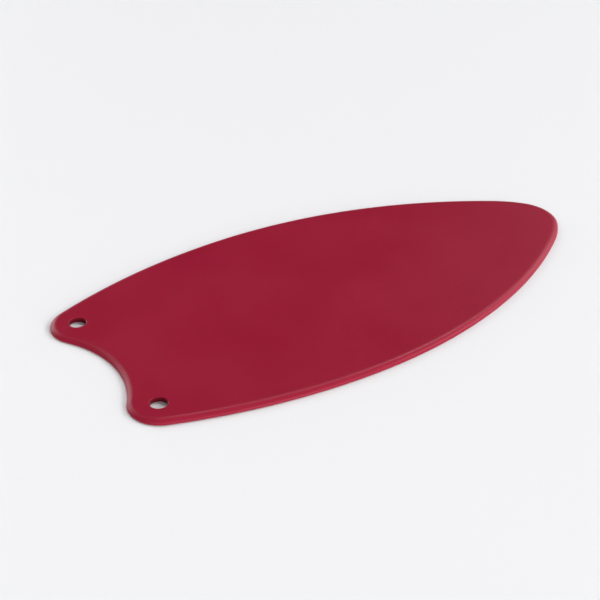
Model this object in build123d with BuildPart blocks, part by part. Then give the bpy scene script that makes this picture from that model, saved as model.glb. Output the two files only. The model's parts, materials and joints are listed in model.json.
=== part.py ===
from build123d import *

import os
from math import atan, cos, hypot, pi, radians, sin

# Silicone rest mat for a hot clothes iron: one flat moulded sheet in the outline of an
# iron's soleplate, with a rounded nose, two long convex flanks, and a hollowed heel
# between two round lobes that each have a hanging hole.
# Millimetres. +X points to the nose, +Z up, and Z = 0 is the underside. The origin is
# the centre of the length, on the plane of symmetry.

# Driving dimensions
length = 270.0  # from the ends of the heel lobes to the tip of the nose
width = 140.0  # across the widest point
widest_station = 110.5  # the widest point, from the heel end
thickness = 2.5

nose_radius = 21.0
shoulder_radius = 60.0  # eases the nose into the front flank
shoulder_turn = 17.0  # degrees that each shoulder arc turns
lobe_radius = 15.3
lobe_spacing = 74.4  # between the centres of the two lobes
heel_depth = 11.2  # how far the heel is hollowed in, on the centre line

top_edge_radius = 2.1
bottom_edge_radius = 0.3
edge_land = 0.1  # the least upright wall between the two roundings

hole_diameter = 8.0
hole_rim_radius = 1.0  # at the mouth in the top face
hole_aft_of_lobe = 2.3  # from each lobe's centre toward the heel end
hole_outboard_of_lobe = 1.1  # from each lobe's centre away from the centre line

# Stations along X
heel_end = -length / 2
nose_tip = length / 2
heel_middle = heel_end + heel_depth


def unit(vector):
    """The vector's direction, with a length of one."""
    return vector / hypot(vector.X, vector.Y)


def flank_radius(end_centre, end_radius):
    """The radius of the arc that peaks at the widest point and touches an end arc."""
    span = widest_point - end_centre
    reach = hypot(span.X, span.Y)
    return (reach**2 - end_radius**2) / (2 * (span.Y - end_radius))


def touch_point(big_centre, big_radius, small_centre):
    """Where a circle touches a smaller one that lies inside it or beyond its rim."""
    return big_centre + unit(small_centre - big_centre) * big_radius


# The half outline with Y above zero
widest_point = Vector(heel_end + widest_station, width / 2)
nose_centre = Vector(nose_tip - nose_radius, 0)
lobe_centre = Vector(heel_end + lobe_radius, lobe_spacing / 2)

# The front flank turns by front_turn from the widest point to the shoulder, and the
# nose arc by what is left of the quarter turn between the flank's peak and the tip
ease = shoulder_radius - nose_radius
rise = widest_point.Y - shoulder_radius + ease * cos(radians(shoulder_turn))
run = nose_centre.X - widest_point.X + ease * sin(radians(shoulder_turn))
front_turn = 2 * atan(rise / run)
nose_turn = pi / 2 - front_turn - radians(shoulder_turn)
nose_edge = Vector(cos(nose_turn), sin(nose_turn))
shoulder_centre = nose_centre - nose_edge * ease

front_radius = flank_radius(shoulder_centre, shoulder_radius)
front_centre = widest_point - Vector(0, front_radius)
rear_radius = flank_radius(lobe_centre, lobe_radius)
rear_centre = widest_point - Vector(0, rear_radius)

# The heel's hollow is an arc that touches both lobes from outside
inset = lobe_radius - heel_depth
half_span = lobe_spacing / 2
heel_radius = (inset**2 + half_span**2 - lobe_radius**2) / (2 * (lobe_radius - inset))
heel_centre = Vector(heel_middle - heel_radius, 0)

nose_to_shoulder = nose_centre + nose_edge * nose_radius
shoulder_to_front = touch_point(front_centre, front_radius, shoulder_centre)
rear_to_lobe = touch_point(rear_centre, rear_radius, lobe_centre)
lobe_to_heel = touch_point(heel_centre, heel_radius, lobe_centre)

hole_x = lobe_centre.X - hole_aft_of_lobe
hole_y = lobe_centre.Y + hole_outboard_of_lobe

with BuildPart() as silicone_mat:
    with BuildSketch(Plane.XY):
        with BuildLine():
            RadiusArc((nose_tip, 0), nose_to_shoulder, -nose_radius)
            RadiusArc(nose_to_shoulder, shoulder_to_front, -shoulder_radius)
            RadiusArc(shoulder_to_front, widest_point, -front_radius)
            RadiusArc(widest_point, rear_to_lobe, -rear_radius)
            RadiusArc(rear_to_lobe, lobe_to_heel, -lobe_radius)
            RadiusArc(lobe_to_heel, (heel_middle, 0), heel_radius)
            mirror(about=Plane.XZ)
        make_face()
        with Locations((hole_x, hole_y), (hole_x, -hole_y)):
            Circle(hole_diameter / 2, mode=Mode.SUBTRACT)
    extrude(amount=thickness)

    # The crowned edge takes as much of the wall as the underside's rounding leaves
    top_rounding = min(top_edge_radius, thickness - bottom_edge_radius - edge_land)
    top_face = silicone_mat.faces().sort_by(Axis.Z)[-1]
    fillet(top_face.outer_wire().edges(), radius=top_rounding)
    top_face = silicone_mat.faces().sort_by(Axis.Z)[-1]
    fillet([wire.edges() for wire in top_face.inner_wires()], radius=hole_rim_radius)
    underside = silicone_mat.faces().sort_by(Axis.Z)[0]
    fillet(underside.edges(), radius=bottom_edge_radius)

silicone_mat.part.label = "silicone_mat"

os.makedirs("parts", exist_ok=True)
export_step(silicone_mat.part, "parts/silicone_mat.step")
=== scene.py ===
import json
from math import acos, atan, atan2, ceil, cos, pi, radians, sin

import bmesh
import bpy
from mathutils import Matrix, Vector


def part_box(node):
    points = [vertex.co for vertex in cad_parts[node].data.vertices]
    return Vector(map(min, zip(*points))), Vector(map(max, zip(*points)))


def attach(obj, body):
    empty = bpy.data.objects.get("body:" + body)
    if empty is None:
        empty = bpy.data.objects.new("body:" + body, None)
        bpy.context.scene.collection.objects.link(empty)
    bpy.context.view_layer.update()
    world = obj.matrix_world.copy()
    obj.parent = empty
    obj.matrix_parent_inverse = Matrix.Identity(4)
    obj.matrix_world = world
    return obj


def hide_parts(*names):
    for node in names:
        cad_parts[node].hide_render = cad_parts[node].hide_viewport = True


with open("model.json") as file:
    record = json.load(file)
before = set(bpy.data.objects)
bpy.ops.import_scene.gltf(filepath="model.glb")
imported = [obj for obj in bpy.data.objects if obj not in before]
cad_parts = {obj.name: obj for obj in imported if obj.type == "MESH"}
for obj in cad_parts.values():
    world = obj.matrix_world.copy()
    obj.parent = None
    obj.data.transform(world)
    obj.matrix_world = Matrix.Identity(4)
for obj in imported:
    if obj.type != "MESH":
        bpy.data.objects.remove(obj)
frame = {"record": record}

bl_info = {
    "name": "Iron Rest Mat",
    "version": (1, 0, 0),
    "blender": (4, 5, 0),
    "location": "3D View > Sidebar > Iron Rest",
    "description": "Builds a moulded silicone mat on which a hot clothes iron is rested",
    "category": "Object",
}

MAT_NODE = "silicone_mat"
UP = Vector((0, 0, 1))

# Facets of the mesh, in metres and counts
FACET_SAG = 0.000006  # how far a facet may cut inside its arc
CROWN_FACETS = 12
RIM_FACETS = 8
UNDERSIDE_FACETS = 3
FLAT_MARGIN = 0.0008  # flat band kept between each rounding and the filled faces
WELD = 0.000001  # points nearer than this are one
CORNER_ANGLE = radians(45)  # faces that turn by more than this meet squarely

# Silicone
SILICONE_IOR = 1.41
SILICONE_SPECULAR = 0.16
CLOUD_RANGE = (0.3, 0.7)  # the values of the noise that are spread over 0 to 1
SPECK_RANGE = (0.35, 0.65)
CLOUD_SHARE = 0.55  # the clouds' share of the colour's change; the specks have the rest
CLOUD_ROUGHENING = 0.06
GRAIN_ROUGHENING = 0.05
NOISE_MIDDLE = 0.5
FULL_EDGE_LIGHT = 0.12  # squared sine of the slope at which the edge's painted light is full, 20 degrees

# Distances from a hole's centre, in radii of the hole
HOLE_SHADE_FULL, HOLE_SHADE_GONE = 1.02, 1.12  # the painted shade on the wall gives way to the face's colour between these
EDGE_LIGHT_START, EDGE_LIGHT_FULL = 1.3, 1.6  # the painted edge light begins only past the hole's mouth

# Tabletop
FLOOR_REACH = 6  # from its middle to each side, in metres
FLOOR_PATCH = 0.4  # size of its uneven patches, in metres
FLOOR_PATCH_SHADE = 0.99  # the darkest of them, as a share of the floor's colour
FLOOR_ROUGHNESS = 0.55
FLOOR_IOR = 1.4

# Places of the Mix node's colour sockets, whose names its other sockets share
MIX_FIRST, MIX_SECOND, MIX_RESULT = 6, 7, 2

# Soft lamps, far off: azimuth from -Y toward +X, elevation and apparent width, all in
# degrees, and strength in W/m2
LAMPS = (
    ("nose_side_lamp", 56, 30, 25, 1.25),
    ("nose_end_lamp", 101, 30, 25, 0.56),
    ("nose_gloss_lamp", 123, 26, 25, 0.12),
    ("low_nose_lamp", 80, 12, 47, 0.85),
    ("low_front_lamp", 11, 15, 28, 1.37),
    ("viewer_lamp", -34, 12, 53, 1.50),
    ("heel_lamp", -70, 40, 21, 0.13),
    ("low_back_lamp", -170, 18, 45, 1.95),
    ("overhead_lamp", 118, 50, 9, 0.52),
    ("sheen_lamp", 144, 55, 7, 0.40),
)

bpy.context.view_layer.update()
cad_low, cad_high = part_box(MAT_NODE)
hole_mounts = [m for m in frame["record"]["mounts"] if m["kind"] == "bore"]


def length_property(name, description, default):
    """A bpy property for a length in metres."""
    return bpy.props.FloatProperty(
        name=name,
        description=description,
        default=default,
        min=0,
        precision=5,
        unit="LENGTH",
        subtype="DISTANCE",
    )


def angle_property(name, description, default):
    """A bpy property for an angle, given in degrees and kept in radians."""
    return bpy.props.FloatProperty(
        name=name,
        description=description,
        default=radians(default),
        unit="ROTATION",
        subtype="ANGLE",
    )


def colour_property(name, description, default):
    """A bpy property for a linear colour."""
    return bpy.props.FloatVectorProperty(
        name=name,
        description=description,
        default=default,
        size=3,
        min=0,
        max=1,
        subtype="COLOR",
    )


def share_property(name, description, default):
    """A bpy property for a number from 0 to 1."""
    return bpy.props.FloatProperty(
        name=name, description=description, default=default, min=0, max=1, subtype="FACTOR"
    )


class MatShape(bpy.types.PropertyGroup):
    """The mat's outline, edge and holes."""

    length: length_property("Length", "From the heel lobes to the nose", cad_high.x - cad_low.x)
    width: length_property("Width", "Across the widest point", cad_high.y - cad_low.y)
    thickness: length_property("Thickness", "Of the sheet", cad_high.z - cad_low.z)
    widest_station: length_property("Widest station", "Widest point, from the heel end", 0.1105)
    nose_radius: length_property("Nose radius", "Of the tip of the nose", 0.021)
    shoulder_radius: length_property("Shoulder radius", "Eases the nose into the flank", 0.060)
    shoulder_turn: angle_property("Shoulder turn", "Angle that each shoulder arc turns", 17)
    lobe_radius: length_property("Lobe radius", "Of each heel lobe", 0.0153)
    lobe_spacing: length_property("Lobe spacing", "Between the lobes' centres", 0.0744)
    heel_depth: length_property("Heel depth", "Hollow of the heel on the centre line", 0.0112)
    crown_width: length_property("Crown width", "How far the rounded edge reaches in", 0.0033)
    crown_height: length_property("Crown height", "How far the rounded edge drops", 0.0021)
    underside_radius: length_property("Underside radius", "Height of its lower rounding", 0.0003)
    rim_width: length_property("Rim width", "Rounding around each hole's mouth", 0.0005)


class SiliconeLook(bpy.types.PropertyGroup):
    """The silicone's colour and surface."""

    colour: colour_property("Colour", "Of the pigmented silicone", (0.280, 0.0047, 0.0260))
    cloud_colour: colour_property("Cloud colour", "Of its paler clouds", (0.304, 0.0057, 0.0295))
    # Painted light: the rounded edge is painted paler, a painted sheen for the light it catches
    edge_light_colour: colour_property("Edge colour", "Of its rubbed edge", (0.340, 0.0165, 0.0420))
    # Painted shade: the walls of the holes are painted darker
    hole_shade_colour: colour_property("Hole colour", "Of its holes' walls", (0.130, 0.0035, 0.0120))
    cloud_size: length_property("Cloud size", "Of the faint cloudy patches", 0.045)
    speck_size: length_property("Speck size", "Of the smaller blotches among them", 0.0040)
    grain_size: length_property("Grain size", "Of the mould's fine texture", 0.00045)
    grain_depth: length_property("Grain depth", "Of the mould's fine texture", 0.00001)
    roughness: share_property("Roughness", "Of the satin surface", 0.35)


class StageLook(bpy.types.PropertyGroup):
    """The camera, lamps and floor."""

    azimuth: angle_property("Azimuth", "Of the camera, from -Y toward +X", -34.17)
    elevation: angle_property("Elevation", "Of the camera above the floor", 31.53)
    distance: length_property("Distance", "From the camera to the point it looks at", 0.669)
    aim_x: bpy.props.FloatProperty(
        name="Aim X", description="Where the camera looks", default=-0.0234, unit="LENGTH"
    )
    aim_y: bpy.props.FloatProperty(
        name="Aim Y", description="Where the camera looks", default=0.0003, unit="LENGTH"
    )
    lens: bpy.props.FloatProperty(
        name="Lens", description="Focal length on a 36 mm sensor", default=84, unit="CAMERA"
    )
    floor_colour: colour_property("Floor colour", "Of the pale table", (0.88, 0.88, 0.895))
    dome_colour: colour_property("Dome colour", "Of the light all around", (0.98, 0.985, 1.0))
    dome_strength: share_property("Dome strength", "Of the light all around", 0.032)
    backdrop_strength: share_property("Backdrop strength", "Of what is seen past the floor", 0.79)
    lamp_level: bpy.props.FloatProperty(
        name="Lamp level", description="Scales every lamp's strength", default=0.955, min=0
    )


def direction(angle):
    """The unit vector at that angle from +X toward +Y."""
    return Vector((cos(angle), sin(angle), 0))


def flank_radius(widest_point, end_centre, end_radius):
    """The radius of the arc that peaks at the widest point and touches an end arc."""
    span = widest_point - end_centre
    return (span.length_squared - end_radius**2) / (2 * (span.y - end_radius))


def outline_arcs(shape):
    """The half outline with Y above zero, from the nose's tip to the heel's middle.

    Each arc is its centre, its radius and the angle it turns. The heel's hollow turns back.
    """
    nose_tip = cad_low.x + shape.length
    widest_point = Vector((cad_low.x + shape.widest_station, shape.width / 2, 0))
    nose = Vector((nose_tip - shape.nose_radius, 0, 0))
    lobe = Vector((cad_low.x + shape.lobe_radius, shape.lobe_spacing / 2, 0))

    # The one turn of the front flank for which the shoulder touches both it and the nose
    ease = shape.shoulder_radius - shape.nose_radius
    rise = widest_point.y - shape.shoulder_radius + ease * cos(shape.shoulder_turn)
    run = nose.x - widest_point.x + ease * sin(shape.shoulder_turn)
    front_turn = 2 * atan(rise / run)
    nose_turn = pi / 2 - front_turn - shape.shoulder_turn
    shoulder = nose - direction(nose_turn) * ease
    front_radius = flank_radius(widest_point, shoulder, shape.shoulder_radius)
    front = widest_point - Vector((0, front_radius, 0))

    rear_radius = flank_radius(widest_point, lobe, shape.lobe_radius)
    rear = widest_point - Vector((0, rear_radius, 0))
    rear_turn = atan2(rear.x - lobe.x, lobe.y - rear.y)

    inset = shape.lobe_radius - shape.heel_depth
    heel_radius = (inset**2 + lobe.y**2 - shape.lobe_radius**2) / (2 * shape.heel_depth)
    heel = Vector((cad_low.x + shape.heel_depth - heel_radius, 0, 0))
    heel_turn = atan2(lobe.y, lobe.x - heel.x)

    return [
        (nose, shape.nose_radius, nose_turn),
        (shoulder, shape.shoulder_radius, shape.shoulder_turn),
        (front, front_radius, front_turn),
        (rear, rear_radius, rear_turn),
        (lobe, shape.lobe_radius, pi / 2 - rear_turn + heel_turn),
        (heel, heel_radius, -heel_turn),
    ]


def facets(radius, turn):
    """How many facets keep an arc within FACET_SAG of true."""
    return ceil(abs(turn) / (2 * acos(1 - FACET_SAG / radius)))


def edge_section(bm, edge, inward, height):
    """A square-cornered section of the sheet's edge, as a chain from its top to its underside."""
    inner = edge + inward
    places = (inner + UP * height, edge + UP * height, edge, inner)
    verts = [bm.verts.new(place) for place in places]
    edges = [bm.edges.new(pair) for pair in zip(verts, verts[1:])]
    return verts + edges


def spin(bm, section, centre, turn, steps, closed=False):
    """Turns a section about an upright axis, and returns the geometry that it ends on."""
    spun = bmesh.ops.spin(
        bm,
        geom=section,
        cent=centre,
        axis=UP,
        dvec=(0, 0, 0),
        angle=turn,
        steps=steps,
        use_merge=closed,
        use_normal_flip=False,
        use_duplicate=False,
    )
    return spun["geom_last"]


def round_corners(bm, edges, offset, segments):
    """Rounds square edges."""
    bmesh.ops.bevel(
        bm,
        geom=edges,
        offset=offset,
        offset_type="OFFSET",
        affect="EDGES",
        segments=segments,
        profile=0.5,
        material=-1,
        clamp_overlap=False,
    )


def square_edges(bm, height):
    """The edges at that height where two faces meet squarely."""
    return [
        e
        for e in bm.edges
        if e.is_manifold
        and e.calc_face_angle() > CORNER_ANGLE
        and all(abs(v.co.z - height) < WELD for v in e.verts)
    ]


def edge_band(shape, height, stretch):
    """The rounded edge all round the mat, as a closed band."""
    bm = bmesh.new()
    tip = Vector((cad_low.x + shape.length, 0, 0))
    inward = Vector((-shape.crown_width - FLAT_MARGIN, 0, 0))
    ring = edge_section(bm, tip, inward, height)
    for centre, radius, turn in outline_arcs(shape):
        ring = spin(bm, ring, centre, turn, facets(radius, turn))
    everything = bm.verts[:] + bm.edges[:] + bm.faces[:]
    bmesh.ops.mirror(bm, geom=everything, axis="Y", merge_dist=WELD)
    bmesh.ops.remove_doubles(bm, verts=bm.verts[:], dist=WELD)
    bmesh.ops.recalc_face_normals(bm, faces=bm.faces[:])
    round_corners(bm, square_edges(bm, height), shape.crown_width, CROWN_FACETS)
    round_corners(bm, square_edges(bm, 0), shape.underside_radius * stretch, UNDERSIDE_FACETS)
    return bm


def hole_radius(mount):
    """The radius in metres of a hanging hole, which its mount gives in millimetres."""
    return mount["dims"]["r_mm"] / 1000


def hole_band(shape, mount, height, stretch):
    """The wall and rounded mouth of one hanging hole, as a closed band."""
    bm = bmesh.new()
    x, y, _ = mount["pos_m"]
    radius = hole_radius(mount)
    centre = Vector((x, y, 0))
    outward = Vector((shape.rim_width + FLAT_MARGIN, 0, 0))
    section = edge_section(bm, centre + Vector((radius, 0, 0)), outward, height)
    spin(bm, section, centre, 2 * pi, facets(radius, 2 * pi), closed=True)
    round_corners(bm, square_edges(bm, height), shape.rim_width, RIM_FACETS)
    round_corners(bm, square_edges(bm, 0), shape.underside_radius * stretch, UNDERSIDE_FACETS)
    return bm


def add_band(bm, band):
    """Moves a band's mesh into bm."""
    carrier = bpy.data.meshes.new("band")
    band.to_mesh(carrier)
    band.free()
    bm.from_mesh(carrier)
    bpy.data.meshes.remove(carrier)


def fill_face(bm, height):
    """Closes the sheet's flat face at that height, around the holes."""
    rims = [
        e for e in bm.edges if e.is_boundary and all(abs(v.co.z - height) < WELD for v in e.verts)
    ]
    bmesh.ops.triangle_fill(bm, edges=rims, use_beauty=True, use_dissolve=False)


def mat_mesh(shape):
    """The whole mat.

    Its edges are rounded as circles while its height is stretched, which is then undone.
    """
    stretch = shape.crown_width / shape.crown_height
    height = shape.thickness * stretch
    bm = bmesh.new()
    add_band(bm, edge_band(shape, height, stretch))
    for mount in hole_mounts:
        add_band(bm, hole_band(shape, mount, height, stretch))
    fill_face(bm, height)
    fill_face(bm, 0)
    bmesh.ops.scale(bm, vec=(1, 1, 1 / stretch), verts=bm.verts[:])
    bmesh.ops.recalc_face_normals(bm, faces=bm.faces[:])
    for face in bm.faces:
        face.smooth = True
    mesh = bpy.data.meshes.new("iron_rest_mat")
    bm.to_mesh(mesh)
    bm.free()
    return mesh


class Wire:
    """A node's output socket, on which arithmetic adds the Math nodes that work it out."""

    def __init__(self, tree, socket=None):
        self.tree = tree
        self.socket = socket

    def node(self, kind, settings, inputs, output=0):
        """Adds a node: its settings first, then its sockets' values or links."""
        made = self.tree.nodes.new(kind)
        for name, value in settings.items():
            setattr(made, name, value)
        for name, value in inputs.items():
            if isinstance(value, Wire):
                self.tree.links.new(value.socket, made.inputs[name])
            else:
                made.inputs[name].default_value = value
        return Wire(self.tree, made.outputs[output] if made.outputs else None)

    def math(self, operation, first, second):
        """Adds a Math node."""
        return self.node("ShaderNodeMath", {"operation": operation}, {0: first, 1: second})

    def __add__(self, other):
        return self.math("ADD", self, other)

    def __radd__(self, other):
        return self.math("ADD", other, self)

    def __sub__(self, other):
        return self.math("SUBTRACT", self, other)

    def __rsub__(self, other):
        return self.math("SUBTRACT", other, self)

    def __mul__(self, other):
        return self.math("MULTIPLY", self, other)

    def __rmul__(self, other):
        return self.math("MULTIPLY", other, self)

    def noise(self, place, size, detail):
        """Soft noise whose features are about that size."""
        return self.node(
            "ShaderNodeTexNoise",
            {"noise_dimensions": "3D"},
            {"Vector": place, "Scale": 1 / size, "Detail": detail},
        )

    def spread(self, low, high):
        """Spreads the values between low and high over 0 to 1."""
        return self.node(
            "ShaderNodeMapRange",
            {"clamp": True, "interpolation_type": "SMOOTHSTEP"},
            {"Value": self, "From Min": low, "From Max": high},
        )

    def mix(self, first, second):
        """Mixes two colours, from the first at 0 to the second at 1."""
        return self.node(
            "ShaderNodeMix",
            {"data_type": "RGBA", "blend_type": "MIX"},
            {"Factor": self, MIX_FIRST: first, MIX_SECOND: second},
            output=MIX_RESULT,
        )


def new_material(name):
    """An empty material, and the start of its wiring."""
    material = bpy.data.materials.new(name)
    material.use_nodes = True
    material.node_tree.nodes.clear()
    return material, Wire(material.node_tree)


def opaque(colour):
    """A colour property as the four numbers that a socket takes."""
    return (*colour, 1)


def slope(wire):
    """How far the surface leans from level, as the squared sine of its slope."""
    facing = wire.node("ShaderNodeNewGeometry", {}, {}, output="Normal")
    upright = wire.node("ShaderNodeSeparateXYZ", {}, {"Vector": facing}, output="Z")
    return 1 - upright * upright


def silicone_material(look):
    """Pigmented silicone rubber: satin, faintly clouded, with the fine texture of its mould.

    The rounded edge is painted paler, a painted sheen for the light it catches, and the walls of
    the holes are painted darker, as painted shade.
    """
    material, wire = new_material("crimson_silicone")
    place = wire.node("ShaderNodeTexCoord", {}, {}, output="Object")
    clouds = wire.noise(place, look.cloud_size, detail=3).spread(*CLOUD_RANGE)
    specks = wire.noise(place, look.speck_size, detail=2).spread(*SPECK_RANGE)
    grain = wire.noise(place, look.grain_size, detail=2)
    shade = clouds * CLOUD_SHARE + specks * (1 - CLOUD_SHARE)
    colour = shade.mix(opaque(look.colour), opaque(look.cloud_colour))
    # Painted light: the sloping faces of the rounded edge are painted paler, as a painted sheen
    painted_light = slope(wire).spread(0, FULL_EDGE_LIGHT)
    clear_of_hole_shade = 1
    for mount in hole_mounts:
        radius = hole_radius(mount)
        away = wire.node(
            "ShaderNodeVectorMath",
            {"operation": "DISTANCE"},
            {0: place, 1: mount["pos_m"]},
            output="Value",
        )
        painted_light = painted_light * away.spread(radius * EDGE_LIGHT_START, radius * EDGE_LIGHT_FULL)
        # Painted shade: inside each hole the wall is painted darker
        clear_of_hole_shade = clear_of_hole_shade * away.spread(radius * HOLE_SHADE_FULL, radius * HOLE_SHADE_GONE)
    colour = painted_light.mix(colour, opaque(look.edge_light_colour))
    colour = clear_of_hole_shade.mix(opaque(look.hole_shade_colour), colour)
    roughness = (
        look.roughness
        + CLOUD_ROUGHENING * (clouds - NOISE_MIDDLE)
        + GRAIN_ROUGHENING * (grain - NOISE_MIDDLE)
    )
    bump = wire.node(
        "ShaderNodeBump", {}, {"Strength": 1, "Distance": look.grain_depth, "Height": grain}
    )
    surface = wire.node(
        "ShaderNodeBsdfPrincipled",
        {},
        {
            "Base Color": colour,
            "Roughness": roughness,
            "IOR": SILICONE_IOR,
            "Specular IOR Level": SILICONE_SPECULAR,
            "Normal": bump,
        },
    )
    wire.node("ShaderNodeOutputMaterial", {}, {"Surface": surface})
    return material


def floor_material(stage):
    """A pale, matt tabletop with a barely visible unevenness."""
    material, wire = new_material("pale_tabletop")
    place = wire.node("ShaderNodeTexCoord", {}, {}, output="Object")
    shade = wire.noise(place, FLOOR_PATCH, detail=2)
    patch_colour = stage.floor_colour * FLOOR_PATCH_SHADE
    colour = shade.mix(opaque(stage.floor_colour), opaque(patch_colour))
    surface = wire.node(
        "ShaderNodeBsdfPrincipled",
        {},
        {"Base Color": colour, "Roughness": FLOOR_ROUGHNESS, "IOR": FLOOR_IOR},
    )
    wire.node("ShaderNodeOutputMaterial", {}, {"Surface": surface})
    return material


def add_object(name, data):
    """An object that holds the data, in the scene."""
    made = bpy.data.objects.new(name, data)
    bpy.context.scene.collection.objects.link(made)
    return made


def stand_back(azimuth, elevation):
    """The unit vector from the mat toward a viewer or lamp at those angles."""
    flat = Vector((sin(azimuth), -cos(azimuth), 0))
    return flat * cos(elevation) + UP * sin(elevation)


def add_lamp(name, azimuth, elevation, width, strength):
    """A soft lamp far off in that direction, with all its angles in degrees.

    Only its direction lights the mat. Its place just shows where the light comes from.
    """
    lamp = bpy.data.lights.new(name, "SUN")
    lamp.angle = radians(width)
    lamp.energy = strength
    made = add_object(name, lamp)
    back = stand_back(radians(azimuth), radians(elevation))
    made.location = back
    made.rotation_euler = back.to_track_quat("Z", "Y").to_euler()


def light_world(look):
    """A weak light all around, behind which a viewer sees a pale backdrop."""
    world = bpy.data.worlds.new("dome")
    world.use_nodes = True
    world.node_tree.nodes.clear()
    wire = Wire(world.node_tree)
    seen = wire.node("ShaderNodeLightPath", {}, {}, output="Is Camera Ray")
    strength = seen * (look.backdrop_strength - look.dome_strength) + look.dome_strength
    light = wire.node(
        "ShaderNodeBackground", {}, {"Color": opaque(look.dome_colour), "Strength": strength}
    )
    wire.node("ShaderNodeOutputWorld", {}, {"Surface": light})
    return world


class IRONREST_OT_build_mat(bpy.types.Operator):
    """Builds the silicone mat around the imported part"""

    bl_idname = "iron_rest.build_mat"
    bl_label = "Build Silicone Mat"
    bl_options = {"REGISTER", "UNDO"}

    def execute(self, context):
        scene = context.scene
        mat = add_object("iron_rest_mat", mat_mesh(scene.mat_shape))
        mat.data.materials.append(silicone_material(scene.silicone_look))
        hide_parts(MAT_NODE)
        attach(mat, "root")
        return {"FINISHED"}


class IRONREST_OT_build_stage(bpy.types.Operator):
    """Sets the floor, the soft lamps and the camera"""

    bl_idname = "iron_rest.build_stage"
    bl_label = "Build Stage"
    bl_options = {"REGISTER", "UNDO"}

    def execute(self, context):
        scene = context.scene
        look = scene.stage_look
        scene.view_settings.view_transform = "Standard"

        bm = bmesh.new()
        bmesh.ops.create_grid(bm, x_segments=1, y_segments=1, size=FLOOR_REACH)
        bmesh.ops.translate(bm, vec=UP * cad_low.z, verts=bm.verts[:])
        floor_mesh = bpy.data.meshes.new("floor")
        bm.to_mesh(floor_mesh)
        bm.free()
        floor = add_object("floor", floor_mesh)
        floor.data.materials.append(floor_material(look))

        scene.world = light_world(look)

        for name, azimuth, elevation, width, strength in LAMPS:
            add_lamp(name, azimuth, elevation, width, strength * look.lamp_level)

        camera_data = bpy.data.cameras.new("camera")
        camera_data.lens = look.lens
        camera = add_object("camera", camera_data)
        back = stand_back(look.azimuth, look.elevation)
        camera.location = Vector((look.aim_x, look.aim_y, 0)) + back * look.distance
        camera.rotation_euler = back.to_track_quat("Z", "Y").to_euler()
        scene.camera = camera
        return {"FINISHED"}


def draw_settings(layout, group):
    """A box in the panel that lists a property group."""
    box = layout.box()
    for name in group.__annotations__:
        box.prop(group, name)


class IRONREST_PT_panel(bpy.types.Panel):
    """Lists the iron rest's settings and build steps"""

    bl_idname = "IRONREST_PT_panel"
    bl_label = "Iron Rest Mat"
    bl_space_type = "VIEW_3D"
    bl_region_type = "UI"
    bl_category = "Iron Rest"

    def draw(self, context):
        layout = self.layout
        scene = context.scene
        for group in (scene.mat_shape, scene.silicone_look):
            draw_settings(layout, group)
        layout.operator(IRONREST_OT_build_mat.bl_idname)
        draw_settings(layout, scene.stage_look)
        layout.operator(IRONREST_OT_build_stage.bl_idname)


SETTINGS = {"mat_shape": MatShape, "silicone_look": SiliconeLook, "stage_look": StageLook}
CLASSES = (*SETTINGS.values(), IRONREST_OT_build_mat, IRONREST_OT_build_stage, IRONREST_PT_panel)


def register():
    """Makes the settings and operators known to Blender."""
    for cls in CLASSES:
        bpy.utils.register_class(cls)
    for name, group in SETTINGS.items():
        setattr(bpy.types.Scene, name, bpy.props.PointerProperty(type=group))


def unregister():
    """Takes the settings and operators out of Blender again."""
    for name in SETTINGS:
        delattr(bpy.types.Scene, name)
    for cls in reversed(CLASSES):
        bpy.utils.unregister_class(cls)


def main():
    """Builds the mat and its stage."""
    register()
    bpy.ops.iron_rest.build_mat()
    bpy.ops.iron_rest.build_stage()


if __name__ == "__main__":
    main()
